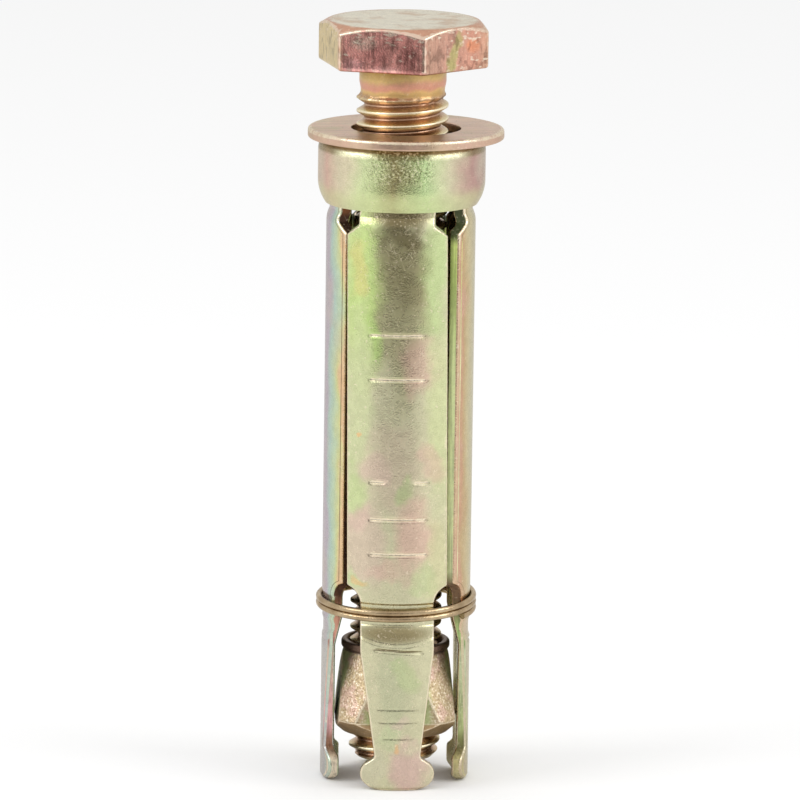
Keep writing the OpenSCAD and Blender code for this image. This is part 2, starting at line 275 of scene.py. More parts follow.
thread, crest = thread_surface()
head, head_edge = head_surface()
level = circle(AROUND)
tip = polar((BOLT_R - TIP_CHAMFER) * np.array([[1], [0.8], [0.4], [0]]), level, TIP_Z)
tip_edge = np.full(tip.shape[:2], 0.4)
rim = np.concatenate([crest.ravel(), head_edge.ravel(), tip_edge.ravel()])
bolt = make_piece("bolt", *join([thread, head, tip], [False, True, True]), sharp_deg=50, rim=rim)
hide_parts("hex_bolt")
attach(bolt, "bolt")

# %% [markdown]
# ## The segments
# A segment is cut from sheet, coined and curled, so its edges are soft and its outside carries pressed
# marks. The grid follows the blank: each row starts and ends on the outline, at the same place on both
# edges, and its middle follows, a little ahead at the shoulders. A small rounded profile is carried along
# the outline for the cut edge. Then the blank is curled: outside and inside are distances from the axis over
# the place (x, z). The right one was cut with its left edge a little askew.

# %% Sizes of the segments, in mm
SHIELD_R, WALL, BODY_TOP_Z, BODY_ROUND_H, SEG_TOP_Z = 9.7, 1.3, 75.5, 1.6, 83.35
NECK_SET, SEG_HEAD_R, SEG_HEAD_Z = 0.4, 9.725, 77.75
INNER_R, SEG_NECK_R = SHIELD_R - WALL, SHIELD_R - NECK_SET
SLOT_START = 0.8 / np.sqrt(2)
EAR_X, EAR_R, EAR_WIDE, WAIST, FOOT_H, LEG_HALF, TAPER_Z = 2.85, 2.0, 2.9, 3.0, 4.45, 4.8, 18.4
SHOULDER_R, BODY_LOW_Z, NECK_HALF, NOTCH_Z, NOTCH_R, NOTCH_DEG = 2.4, 27.0, 4.9, 73.0, 0.5, 40
LEG_FLAT, FOOT_IN, RAMP_H, RAMP_IN = 7.9, 0.65, 5.0, 1.2
GROOVE_Z, GROOVE_H, GROOVE_DEEP = 23.35, 3.1, 0.15
EDGE_R, HEAD_ROUND, WAIST_R, RIGHT_LEAN = 0.22, 0.4, 0.7, 0.8
SLOT_HALF = (np.sqrt(2 * SHIELD_R**2 - SLOT_START**2) - SLOT_START) / 2


def arc(cx, cz, r, start, end, steps):
    """Points on a circle's arc, angles in degrees."""
    a = np.radians(np.linspace(start, end, steps))
    return np.stack([cx + r * np.cos(a), cz + r * np.sin(a)], axis=-1)


def blank_outline(spacing):
    """The right edge of the blank from the foot's middle to the head's middle, evenly spaced."""
    corner = 0.4
    leg_low = BODY_LOW_Z - SHOULDER_R
    across = LEG_HALF + SHOULDER_R - SLOT_HALF + corner
    rise = np.sqrt((SHOULDER_R + corner) ** 2 - across**2)
    meet = np.degrees(np.arctan2(rise, -across))
    slope = np.radians(NOTCH_DEG)
    soft = (1 - np.sin(slope)) / np.cos(slope)
    knee_z = NOTCH_Z + (SLOT_HALF - NECK_HALF) * np.tan(slope)
    line = np.concatenate([
        [[0, 0]],
        arc(0, 0, 1, -90, 0, 16)[:-1] * [EAR_WIDE, EAR_R] + [EAR_X + EAR_R - EAR_WIDE, EAR_R],
        arc(EAR_X, EAR_R, EAR_R, 0, 45, 8),
        arc(WAIST + WAIST_R + 0.02, FOOT_H + 0.22, WAIST_R, 225, 172, 10),
        [[LEG_HALF - 0.03, TAPER_Z - 0.3], [LEG_HALF, TAPER_Z + 0.3]],
        arc(LEG_HALF + SHOULDER_R, leg_low, SHOULDER_R, 180, meet, 16),
        arc(SLOT_HALF - corner, leg_low + rise, corner, meet - 180, 0, 8),
        arc(SLOT_HALF - corner, NOTCH_Z - corner * soft, corner, 0, 90 - NOTCH_DEG, 6),
        arc(NECK_HALF + NOTCH_R, knee_z + NOTCH_R * soft, NOTCH_R, 270 - NOTCH_DEG, 180, 8),
        arc(NECK_HALF - HEAD_ROUND, SEG_TOP_Z - HEAD_ROUND, HEAD_ROUND, 0, 90, 8),
        [[0, SEG_TOP_Z]],
    ])
    reach = np.append(0, np.cumsum(np.linalg.norm(np.diff(line, axis=0), axis=1)))
    even = np.linspace(0, reach[-1], int(reach[-1] / spacing))
    edge = np.stack([np.interp(even, reach, line[:, i]) for i in (0, 1)], axis=-1)
    along = np.gradient(edge, axis=0)
    along[0] = along[-1] = 0
    along[0, 0], along[-1, 0] = 1, -1
    along /= np.linalg.norm(along, axis=1, keepdims=True)
    outward = np.stack([along[:, 1], -along[:, 0]], axis=-1)
    return edge, outward, even


def outside_radius(x, z, marks):
    """Radius of the outside over the place (x, z): body, neck, head, ring groove, foot chamfer and marks."""
    r = np.full_like(z, SHIELD_R)
    dz = np.clip(z - (BODY_TOP_Z - BODY_ROUND_H), 0, BODY_ROUND_H)
    arc_r = (BODY_ROUND_H**2 + NECK_SET**2) / (2 * NECK_SET)
    r = r - (arc_r - np.sqrt(arc_r**2 - dz**2))
    r = r + (SEG_HEAD_R - SEG_NECK_R) * step_up(z, SEG_HEAD_Z - 0.2, SEG_HEAD_Z + 0.2)
    r = r - GROOVE_DEEP * (1 - step_up(np.abs(z - GROOVE_Z), GROOVE_H / 2 - 0.22, GROOVE_H / 2 + 0.05))
    r = r - 0.5 * np.clip(1 - z / 0.5, 0, 1) ** 1.3
    return r - marks(x, z)


def inside_depth(x, z):
    """Distance of the inside from the axis, to the front: the curled wall, pressed flat inside the leg."""
    r = INNER_R - NECK_SET * np.clip((z - BODY_TOP_Z) / BODY_ROUND_H + 1, 0, 1)
    flat = LEG_FLAT - FOOT_IN * (1 - step_up(z, FOOT_H - 0.25, FOOT_H + 0.25))
    flat = flat - RAMP_IN * np.clip((z - TAPER_Z) / RAMP_H, 0, 1)
    flat = np.where(z < TAPER_Z + RAMP_H, flat, 0)
    return np.maximum(np.sqrt(np.maximum(r**2 - x**2, 0)), flat)


def stroke(x, z, x0, z0, x1, z1, width):
    """1 inside a straight stroke with round ends, 0 outside, with soft sides."""
    dx, dz = x1 - x0, z1 - z0
    t = np.clip(((x - x0) * dx + (z - z0) * dz) / (dx * dx + dz * dz), 0, 1)
    d = np.hypot(x - x0 - t * dx, z - z0 - t * dz)
    return 1 - step_up(d, width * 0.25, width * 0.75)


def leg_marks(x, z):
    """What the press leaves on a leg: a hollow under the ring, a line below it and three faint lines."""
    bow = 19.05 + 0.85 * (x / 4.4) ** 2
    hollow = 0.2 * step_up(z, bow - 0.15, bow + 0.5) * (1 - step_up(z, 21.0, 21.9))
    line = 0.2 * stroke(x, z, -2.7, 18.75, 3.1, 18.35, 0.4)
    faint = sum(
        0.035 * stroke(x, z, -half + 0.1, height, half, height, 0.28)
        for height, half in ((10.85, 2.6), (9.15, 2.4), (7.0, 1.9))
    )
    return hollow + line + faint


def bars(x, z):
    """Plain stamped bars across the body: four long ones and a pair of short ones."""
    long = sum(0.17 * stroke(x, z, -3.3, height, 3.6, height, 0.5) for height in (60.2, 54.4, 36.0, 31.4))
    return long + sum(0.17 * stroke(x, z, side - 0.7, 40.9, side + 0.7, 40.9, 0.5) for side in (-2.5, 3.1))


def front_marks(x, z):
    """The front segment carries the bars as well."""
    return leg_marks(x, z) + bars(x, z)


def hang_turn(z):
    """Turn about the axis at a height, in radians: the front segment hangs a little askew in the ferrule."""
    return -0.0016 * (z - 36) * (1 - step_up(z, 75.6, 77.6))


def segment_surface(spacing, across, marks, lean):
    """The blank's grid of places (x, z), curled to the outside, the cut edges and the inside.

    lean is how far the inner edge of the left cut face stands out past the slot's plane.
    """
    edge, outward, reach = blank_outline(spacing)
    rows = len(edge)
    quarter = np.radians(np.linspace(0, 90, 5))
    rim_in = EDGE_R * (1 - np.sin(quarter))
    rim_down = EDGE_R * (1 - np.cos(quarter))
    u = np.linspace(-1, 1, across)
    u = np.sign(u) * (1 - (1 - np.abs(u)) ** 1.15)
    u_in = np.linspace(1, -1, 21)
    middle = (edge[:, 1] + 0.1 * reach) * (SEG_TOP_Z - 2 * EDGE_R) / (SEG_TOP_Z + 0.1 * reach[-1]) + EDGE_R
    middle = middle + 1.2 * np.exp(-(((edge[:, 1] - 26) / 4) ** 2))
    bow = np.abs(u) ** 1.6
    bow_in = np.abs(u_in) ** 1.6

    def place(inset, ratio, lift):
        at = edge - outward * inset
        x = at[:, :1] * ratio
        z = at[:, 1:] * lift + middle[:, None] * (1 - lift)
        return x, z

    def keep_in_slot(x, y):
        out = lean * np.clip((SLOT_HALF + SLOT_START - y) / WALL, 0, 1) * (x < 0)
        return np.sign(x) * np.minimum(np.abs(x), np.maximum(y - SLOT_START + out, 0))

    x, z = place(EDGE_R, u, bow)
    y_out = np.sqrt(outside_radius(x, z, marks) ** 2 - x**2)
    columns = [np.stack([x, -y_out, z], axis=-1)]
    near = np.where((np.abs(u) > 0.84) & (z < 19), 0.3, 0)
    rims = [np.maximum(np.where(np.abs(u) > 0.97, 0.5, 0), near) + 5.5 * bars(x, z) * (marks is front_marks)]

    def cut_edge(side):
        made = []
        for inset, down in zip(rim_in[1:], rim_down[1:]):
            at = edge - outward * inset
            x, z = side * at[:, 0], at[:, 1]
            y = np.sqrt(outside_radius(x, np.clip(z, EDGE_R, SEG_TOP_Z), marks) ** 2 - x**2) - down
            made.append((keep_in_slot(x, y), y, z))
        x, z = side * edge[:, 0], edge[:, 1]
        start, x_low = made[-1][1], x
        for _ in range(12):
            y_low = inside_depth(x_low, z)
            x_low = (x_low + keep_in_slot(x, y_low)) / 2
        for t in (0.04, 0.35, 0.65, 0.96):
            y = start + (y_low + EDGE_R - start) * t
            made.append((keep_in_slot(x, y), y, z))
        for inset, up in zip(rim_in[::-1][1:], rim_down[::-1][1:]):
            at = edge - outward * inset
            ratio = np.where(np.abs(x) > 1e-6, x_low / np.where(np.abs(x) > 1e-6, x, 1), 1)
            xi, zi = side * at[:, 0] * ratio, at[:, 1]
            made.append((xi, inside_depth(xi, np.clip(zi, EDGE_R, SEG_TOP_Z)) + up, zi))
        return [np.stack([x, -y, z], axis=-1)[:, None] for x, y, z in made], x_low

    right, x_low = cut_edge(1)
    left, x_left = cut_edge(-1)
    columns += right
    worn = [1.0] * 4 + [0.3] * 4 + [0.8] * 4
    rims += [np.full((rows, 1), v) for v in worn]
    half = np.maximum(edge[:, 0], 1e-6)
    shares = [np.where(edge[:, 0] > 1e-6, np.abs(low) / half, 1)[:, None] for low in (x_low, x_left)]
    xi, zi = place(EDGE_R, u_in[1:-1], bow_in[1:-1])
    xi = xi * np.where(xi > 0, *shares)
    columns.append(np.stack([xi, -inside_depth(xi, zi), zi], axis=-1))
    rims.append(0 * xi)
    columns += left[::-1]
    rims += [np.full((rows, 1), v) for v in worn[::-1]]
    return np.concatenate(columns, axis=1), np.concatenate(rims, axis=1)


SEGMENTS = {"front": 0.0, "right": 94.0, "back": 182.5, "left": 270.6}
segments = {}
for name, degrees in SEGMENTS.items():
    front = name == "front"
    spacing, across, marks = (0.11, 55, front_marks) if front else (0.24, 45, leg_marks)
    grid, rim = segment_surface(spacing, across, marks, RIGHT_LEAN if name == "right" else 0.0)
    a = np.radians(degrees) + hang_turn(grid[..., 2]) * front
    x, y, z = np.moveaxis(grid, -1, 0)
    grid = np.stack([x * np.cos(a) - y * np.sin(a), x * np.sin(a) + y * np.cos(a), z], axis=-1)
    made = make_piece(f"segment_{name}_pressed", grid, grid_quads(*grid.shape[:2], wrap_cols=True), rim=rim)
    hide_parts(f"segment_{name}")
    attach(made, f"leg_{name}")
    segments[name] = made

# %% [markdown]
# ## The ferrule
# The ferrule is a cup drawn from sheet. Its top edge is as round as the punch that made it, and its lower
# edge is rolled in over the segments' heads. The section is a closed line, turned about the axis.

# %% Ferrule
FERRULE_Z, FERRULE_TOP_Z, FERRULE_R, PUNCH_R, PUNCH_H = 76.3, 84.8, 10.875, 0.9, 1.6
CURL_Z, CURL_R = 79.4, 5.305
CHAMBER_R, LIP_R, LIP_Z, PLATE_Z, PLATE_R = 9.875, 9.45, 77.6, 83.5, 7.975


def cup_section():
    """Points (r, z) from the chamber's wall round the lip, up the outside and over the plate to the hole."""
    z = np.linspace(FERRULE_Z + 0.1, CURL_Z, 14)
    curl = np.stack([FERRULE_R - CURL_R + np.sqrt(CURL_R**2 - (z - CURL_Z) ** 2), z], axis=-1)
    under = [
        (CHAMBER_R, PLATE_Z), (CHAMBER_R, 80.5), (CHAMBER_R, LIP_Z), (LIP_R, LIP_Z),
        (LIP_R, FERRULE_Z + 0.12), (LIP_R + 0.12, FERRULE_Z),
        (curl[0, 0] - 0.14, FERRULE_Z), (curl[0, 0] - 0.03, FERRULE_Z + 0.03),
    ]
    shoulder = arc(0, 0, 1, 0, 90, 16) * [PUNCH_R, PUNCH_H] + [FERRULE_R - PUNCH_R, FERRULE_TOP_Z - PUNCH_H]
    wall = [(FERRULE_R, CURL_Z + (shoulder[0, 1] - CURL_Z) * t) for t in (0.25, 0.5, 0.75)]
    hole = [
        (9.0, FERRULE_TOP_Z), (PLATE_R + 0.2, FERRULE_TOP_Z), (PLATE_R + 0.06, FERRULE_TOP_Z - 0.06),
        (PLATE_R, FERRULE_TOP_Z - 0.2), (PLATE_R, PLATE_Z),
    ]
    return np.concatenate([under, curl, wall, shoulder, hole])


section = cup_section()
around = circle(160)
grid = polar(section[:, :1], around, section[:, 1:])
cup = make_piece("cup", grid, closed_quads(grid), sharp_deg=50)
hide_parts("ferrule")
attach(cup, "collar")

# %% [markdown]
# ## The washer
# The washer is punched from strip, and the punch has drawn its upper edge rounder than the others. It lies
# loose, a little to the right. Its section is four straights with a soft corner between each two. Two more
# rows on each straight keep the flat faces flat in the shading.

# %% Washer
WASHER_Z, WASHER_TOP_Z, WASHER_HOLE_R, WASHER_R, WASHER_SHIFT = 84.8, 86.05, 7.125, 12.75, 0.5


def washer_section():
    """Points (r, z) from the hole's wall out below, round the rim and back, and how rubbed each one is."""
    half = (WASHER_Z + WASHER_TOP_Z) / 2
    line = np.array([
        (WASHER_HOLE_R, half), (WASHER_HOLE_R, WASHER_Z), (WASHER_R, WASHER_Z),
        (WASHER_R, WASHER_TOP_Z), (WASHER_HOLE_R, WASHER_TOP_Z), (WASHER_HOLE_R, half),
    ])
    line = rounded(line[:, None], [0.15, 0.25, 0.42, 0.15], steps=6)[:-1, 0]
    rubbed = np.repeat([0, 0.1, 0.4, 0.8, 0.2], [1, 6, 6, 6, 6])
    for start in (18, 12, 6):
        way = line[start + 1] - line[start]
        line = np.insert(line, start + 1, [line[start] + way * 0.03, line[start] + way * 0.97], axis=0)
        rubbed = np.insert(rubbed, start + 1, [0, 0])
    return line, rubbed


section, rubbed = washer_section()
around = circle(192)
grid = polar(section[:, :1], around, section[:, 1:]) + [WASHER_SHIFT, 0, 0]
rim = rubbed[:, None] + 0 * around
washer = make_piece("washer", grid, closed_quads(grid), rim=rim)
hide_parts("flat_washer")
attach(washer, "collar")

# %% [markdown]
# ## The ring
# The ring is spring wire wound like a key ring: a little over two turns that lie on each other. Its centre
# line is a helix that climbs one wire's thickness per turn. It has to open with the legs, so it is made as
# four quarter arcs, one at each leg, which meet at their ends.

# %% Ring
RING_Z, WIRE_R = 23.35, 0.415
RING_R = SHIELD_R - GROOVE_DEEP + 0.12 + WIRE_R
COIL_STEP = 0.8
WIRE_START, WIRE_END, LOW_FRONT_Z, BACK_RISE = -31.0, 760.0, 22.95, 0.9
BOUNDS = {"right": (-43.0, 48.25), "back": (48.25, 137.0), "left": (137.0, 225.75), "front": (225.75, 317.0)}


def wire_tube(start, end):
    """A round section carried along the coil from start to end, in degrees, with closed ends."""
    n = max(int((end - start) * 1.2), 3)
    a = np.linspace(start, end, n)
    z = LOW_FRONT_Z + COIL_STEP * (a - 270) / 360 + BACK_RISE * (1 + np.sin(np.radians(a))) / 2
    t = circle(14)
    section_r = np.full(n + 2, WIRE_R)
    section_r[0] = section_r[-1] = 0
    a = np.concatenate([a[:1], a, a[-1:]])
    z = np.concatenate([z[:1], z, z[-1:]])
    r = RING_R + section_r[:, None] * np.cos(t)
    return polar(r, np.radians(a)[:, None], z[:, None] + section_r[:, None] * np.sin(t))


ring_pieces = []
for name, (low, high) in BOUNDS.items():
    spans = [(max(low + turn, WIRE_START), min(high + turn, WIRE_END)) for turn in (-360, 0, 360, 720)]
    tubes = [wire_tube(start, end) for start, end in spans if end - start > 0.5]
    made = make_piece(f"ring_{name}", *join(tubes, [True] * len(tubes)), sharp_deg=60)
    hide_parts("retaining_ring")
    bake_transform(made)
    ring_pieces.append(made)

# %% [markdown]
# ## The cone nut
# The nut is turned from bar: a cone with a collar on top, and four sloping flats for the legs. In polar form
# its outside is the smaller of the cone's radius and the flats' distance, rounded where they meet.

# %% Cone nut
NUT_Z, NUT_TOP_Z, NUT_BORE_R, NUT_FACE_R = 6.4, 18.4, 6.025, 7.1
CONE_LOW_Z, CONE_LOW_R, CONE_TOP_Z, CONE_TOP_R, COLLAR_R = 8.5, 9.5, 17.3, 6.75, 7.1
NUT_FLAT, NUT_SLOPE, NUT_TURN = 7.65, np.tan(np.radians(4.3)), np.radians(3.5)


def nut_surface(around=320):
    """For each angle a closed section: lower face, chamfer, cone or flat, collar, upper face and bore."""
    a = circle(around)
    beta = (a + np.pi / 4) % (np.pi / 2) - np.pi / 4
    z = np.append(np.linspace(NUT_Z, CONE_LOW_Z, 16), np.linspace(CONE_LOW_Z, CONE_TOP_Z, 58)[1:])[:, None]
    chamfer = NUT_FACE_R + (CONE_LOW_R - NUT_FACE_R) * (z - NUT_Z) / (CONE_LOW_Z - NUT_Z)
    cone = CONE_LOW_R + (CONE_TOP_R - CONE_LOW_R) * (z - CONE_LOW_Z) / (CONE_TOP_Z - CONE_LOW_Z)
    flat = (NUT_FLAT - (z - CONE_LOW_Z) * NUT_SLOPE) / np.cos(beta)
    body_r = smooth_min(smooth_min(chamfer, cone, 0.3), flat, 0.22)
    bend = np.radians(np.linspace(0, 90, 5))[:, None]
    soft, mouth_r, mouth_h = 0.35, 6.33, 0.3
    under_r, under_z = COLLAR_R - soft + soft * np.sin(bend), CONE_TOP_Z + soft - soft * np.cos(bend)
    over_r, over_z = COLLAR_R - soft + soft * np.cos(bend), NUT_TOP_Z - soft + soft * np.sin(bend)
    bore = np.array([
        [mouth_r, NUT_TOP_Z], [NUT_BORE_R, NUT_TOP_Z - mouth_h],
        [NUT_BORE_R, NUT_Z + mouth_h], [mouth_r, NUT_Z],
    ])
    full = np.ones_like(a)
    r = np.concatenate([body_r, under_r * full, over_r * full, bore[:, :1] * full])
    z = np.concatenate([z * full, under_z * full, over_z * full, bore[:, 1:] * full])
    edge = np.zeros_like(r)
    near = np.minimum(np.abs(np.minimum(chamfer, cone) - flat), np.abs(chamfer - cone) + 0 * flat)
    edge[:len(body_r)] = 1 - step_up(near, 0.05, 0.22)
    return polar(r, a + NUT_TURN, z), edge


grid, rim = nut_surface()
nut = make_piece("nut", grid, closed_quads(grid), sharp_deg=50, rim=rim)
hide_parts("cone_nut")
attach(nut, "nut")

# %% [markdown]
# ## Finishes
# Yellow zinc plating is zinc under a chromate film. The film is so thin that its colour follows its
# thickness: pale green and yellow, then pink, mauve and bluish, in soft bands and patches. The finishes work
# on object coordinates in millimetres, so the colours stay with a piece when it moves. Each one lays bands
# round the axis and patches, stirred by noise. A last coat, common to all, adds mottling, grain, fine
# scratches and rubbed edges, and carries them into roughness and bump.

# %% Node writer
def srgb(red, green, blue):
    """Linear colour of three display values from 0 to 255."""
    c = np.array([red, green, blue]) / 255
    return (*np.where(c < 0.04045, c / 12.92, ((c + 0.055) / 1.055) ** 2.4).tolist(), 1.0)


class Paint:
    """Writes one material. Each method adds a node and gives back its output."""

    def __init__(self, name):
        self.material = bpy.data.materials.new(name)
        self.material.use_nodes = True
        self.tree = self.material.node_tree
        self.shader = self.tree.nodes["Principled BSDF"]
        self.at = self.scaled(self.node("ShaderNodeTexCoord").outputs["Object"], 1 / MM)
        self.x, self.y, self.z = self.node("ShaderNodeSeparateXYZ", Vector=self.at).outputs

    def put(self, socket, value):
        if isinstance(value, bpy.types.NodeSocket):
            self.tree.links.new(value, socket)
        else:
            socket.default_value = value

    def node(self, kind, **values):
        made = self.tree.nodes.new(kind)
        for key, value in values.items():
            self.put(made.inputs[key], value)
        return made

    def math(self, operation, *values):
        made = self.tree.nodes.new("ShaderNodeMath")
        made.operation = operation
        for socket, value in zip(made.inputs, values):
            self.put(socket, value)
        return made.outputs[0]

    def add(self, a, b):
        return self.math("ADD", a, b)

    def sub(self, a, b):
        return self.math("SUBTRACT", a, b)

    def mul(self, a, b):
        return self.math("MULTIPLY", a, b)

    def vector(self, operation, a, **values):
        made = self.tree.nodes.new("ShaderNodeVectorMath")
        made.operation = operation
        self.put(made.inputs[0], a)
        for key, value in values.items():
            self.put(made.inputs[{"b": 1, "scale": "Scale"}[key]], value)
        return made.outputs[0]

    def scaled(self, vector, scale):
        return self.vector("SCALE", vector, scale=scale)

    def mix(self, share, a, b):
        """From colour a to colour b. Plain colours are three display values."""
        made = self.tree.nodes.new("ShaderNodeMix")
        made.data_type = "RGBA"
        for index, value in ((0, share), (6, a), (7, b)):
            self.put(made.inputs[index], srgb(*value) if isinstance(value, tuple) else value)
        return made.outputs[2]

    def lay(self, colour, tone, share, strength):
        """Lays a tone over a colour, as strongly as that where the share is full."""
        return self.mix(self.mul(share, strength), colour, tone)

    def step(self, value, low, high):
        """0 at low, 1 at high, smooth between. Low may be the larger one."""
        made = self.node("ShaderNodeMapRange", Value=value)
        made.interpolation_type = "SMOOTHSTEP"
        flip = low > high
        self.put(made.inputs["From Min"], high if flip else low)
        self.put(made.inputs["From Max"], low if flip else high)
        self.put(made.inputs["To Min"], 1.0 if flip else 0.0)
        self.put(made.inputs["To Max"], 0.0 if flip else 1.0)
        return made.outputs[0]

    def between(self, value, low, high, end, past):
        """Rises from low to high, stays 1 and falls from end to past."""
        return self.mul(self.step(value, low, high), self.step(value, past, end))

    def noise(self, size, detail=2.0, stretch=(1, 1, 1), tilt=None, shift=0.0):
        """Noise round 0.5 whose blobs are about size mm wide, longer along the stretched axes."""
        at = self.at
        if tilt is not None:
            at = self.node("ShaderNodeMapping", Vector=at, Rotation=np.radians(tilt).tolist()).outputs[0]
        at = self.vector("MULTIPLY", at, b=[1 / (size * s) for s in stretch])
        at = self.vector("ADD", at, b=(shift, shift * 0.7, shift * 1.3))
        return self.node("ShaderNodeTexNoise", Vector=at, Scale=1.0, Detail=detail).outputs[0]

    def sway(self, value, size, reach, **more):
        """A value that noise moves about that far to both sides."""
        return self.add(value, self.mul(self.sub(self.noise(size, **more), 0.5), reach * 3))

    def ramp(self, value, stops):
        """Colours along a value. Each stop: place, red, green and blue."""
        made = self.node("ShaderNodeValToRGB", Fac=value)
        stack = made.color_ramp.elements
        while len(stack) < len(stops):
            stack.new(0.5)
        for element, (place, *tone) in zip(stack, stops):
            element.position = place
            element.color = srgb(*tone)
        return made.outputs[0]

    def attribute(self, name):
        made = self.tree.nodes.new("ShaderNodeAttribute")
        made.attribute_name = name
        return made.outputs["Fac"]

    def angle(self, degrees):
        """Degrees round the axis from the middle of the side that is turned by that much."""
        c, s = float(np.cos(np.radians(degrees))), float(np.sin(np.radians(degrees)))
        across = self.add(self.mul(self.x, c), self.mul(self.y, s))
        out = self.sub(self.mul(self.x, s), self.mul(self.y, c))
        return self.mul(self.math("ARCTAN2", across, out), 180 / np.pi)

    def patches(self, colour, across, up, rows):
        """Lays soft elliptic patches over a colour. Each row: place, reach, colour and strength."""
        for (cx, cz), (rx, rz), tone, strength in rows:
            dx = self.math("DIVIDE", self.sub(across, cx), rx)
            dz = self.math("DIVIDE", self.sub(up, cz), rz)
            far = self.add(self.mul(dx, dx), self.mul(dz, dz))
            colour = self.lay(colour, tone, self.step(far, 1.5, 0.1), strength)
        return colour

    def coat(self, colour, rough=0.27, grain=1.0, worn=None, dull=0.0, tone=(236, 222, 194), scratch=0.5):
        """The last coat: mottling, specks, scratches and rubbed edges in colour, roughness and bump.

        dull is the share of a thick, powdery film that hides the metal, as on sheared faces.
        """
        mottle = self.noise(1.1, detail=4.0)
        fine = self.noise(0.17, detail=1.0, shift=5.0)
        shade = self.add(self.mul(mottle, 0.36), self.mul(fine, 0.3))
        colour = self.scaled(colour, self.add(shade, 0.67))
        tilts = (((0, 24, 10), 3.0), ((8, -38, 0), 9.0), ((0, 75, 5), 15.0))
        lines = [self.noise(0.13, detail=1.0, stretch=(1, 1, 22), tilt=t, shift=k) for t, k in tilts]
        marks = self.math("MAXIMUM", self.math("MAXIMUM", lines[0], lines[1]), lines[2])
        marks = self.mul(self.step(marks, 0.68, 0.74), self.step(self.noise(5.0, shift=2.0), 0.44, 0.6))
        marks = self.mul(marks, scratch)
        specks = self.mul(self.step(self.noise(0.4, detail=1.0, shift=12.0), 0.69, 0.75), scratch)
        colour = self.lay(colour, tone, self.math("MAXIMUM", marks, specks), 0.7)
        roughness = self.add(self.mul(mottle, 0.16), rough - 0.08)
        if worn is not None:
            rubbed = self.step(self.sway(worn, 0.8, 0.45, detail=4.0, shift=7.0), 0.5, 0.95)
            colour = self.lay(colour, tone, rubbed, 0.8)
            roughness = self.sub(roughness, self.mul(rubbed, 0.06))
        height = self.mul(self.add(fine, self.mul(mottle, 0.8)), grain)
        height = self.sub(height, self.mul(marks, 0.4))
        bump = self.node("ShaderNodeBump", Height=height, Strength=1.0, Distance=0.026 * MM)
        self.put(self.shader.inputs["Base Color"], colour)
        self.put(self.shader.inputs["Metallic"], self.sub(1.0, dull))
        self.put(self.shader.inputs["Specular Tint"], srgb(232, 228, 222))
        self.put(self.shader.inputs["Roughness"], self.add(roughness, self.mul(dull, 0.3)))
        self.put(self.shader.inputs["Normal"], bump.outputs[0])
        print("finish", self.material.name, "with", len(self.tree.nodes), "nodes")
        return self.material


def wear(piece, finish):
    """Gives a piece that one finish."""
    piece.data.materials.clear()
    piece.data.materials.append(finish)


# %% [markdown]
# ## Colours of the front segment
# Seen from the front the film is yellow-green along both edges, grey-green in the upper middle, and pinkish
# tan further down. A painted reflection of the dark front darkens the upper middle towards the top, and there
# is painted shade under the ferrule and in the pressed hollows. Each tone is one soft patch with its place
# and reach in mm.

# %% Finish of the front segment
GREEN, LIME, TAN = (190, 206, 148), (202, 208, 158), (202, 186, 162)
PINK, ORANGE = (214, 176, 162), (230, 180, 124)
CUT_RIM = (0.2, 0.3, 0.4, 0.5)
paint = Paint("plated front")
across = paint.sway(paint.x, 4.0, 1.4, detail=4.0)
up = paint.sway(paint.z, 5.0, 3.0, detail=4.0, shift=4.0)
colour = paint.patches((202, 198, 164), across, up, [
    ((-4.6, 66), (3.2, 13), (188, 210, 132), 0.9),
    ((4.4, 68), (2.2, 9), GREEN, 0.9),
    # the next three patches are the film's grey-green with a painted reflection of the dark front laid in:
    # darker towards the top, darkest on the body's rounded top
    ((0.3, 64), (3.4, 13), (160, 156, 116), 0.7),
    ((0.7, 69.5), (3.4, 6), (128, 118, 82), 0.45),
    ((0.2, 73.4), (3.6, 1.9), (104, 94, 62), 0.6),
    ((-5.2, 69), (1.3, 3.5), (214, 194, 128), 0.5),
    ((-3.0, 59), (1.2, 3.0), (176, 202, 124), 0.6),
    ((2.8, 56.5), (2.8, 4.4), PINK, 0.6),
    ((5.4, 50), (1.8, 12), LIME, 0.8),
    ((-5.2, 50), (2.0, 14), (198, 204, 158), 0.8),
    ((-0.6, 42), (4.2, 6), TAN, 0.7),
    ((2.4, 33.5), (2.8, 5.4), PINK, 0.7),
    ((-4.2, 32), (2.6, 6), (208, 186, 168), 0.7),
    ((5.2, 31), (1.6, 6), (206, 202, 158), 0.7),
    ((0, 13), (2.4, 6), (186, 188, 154), 0.7),
    ((2.0, 2.6), (3.0, 3.4), (212, 176, 170), 0.7),
    ((-3.0, 3.0), (2.4, 2.6), (202, 196, 170), 0.5),
    ((-0.8, 7.4), (1.8, 1.8), (184, 200, 152), 0.4),
    ((0.4, 8.6), (1.6, 0.9), (210, 186, 172), 0.5),
    ((1.6, 15.8), (1.5, 2.2), (186, 200, 146), 0.5),
    ((1.2, 39.4), (1.4, 1.6), (178, 196, 138), 0.6),
    ((4.3, 43.5), (1.6, 2.6), PINK, 0.5),
    ((-2.6, 43.4), (1.8, 2.2), (214, 186, 172), 0.5),
    ((-5.4, 40.0), (1.3, 3.0), (190, 206, 146), 0.6),
    ((-5.2, 35.4), (1.5, 2.2), (214, 184, 170), 0.6),
    ((-1.4, 29.4), (2.2, 1.4), PINK, 0.5),
    ((-5.2, 27.0), (1.6, 1.4), (188, 206, 150), 0.6),
    ((3.4, 27.6), (1.8, 1.6), (190, 204, 150), 0.5),
    ((-5.0, 47), (0.5, 0.5), ORANGE, 0.7),
    ((0.7, 5.6), (0.5, 0.6), ORANGE, 0.6),
    ((-4.6, 27), (0.9, 0.8), ORANGE, 0.5),
])
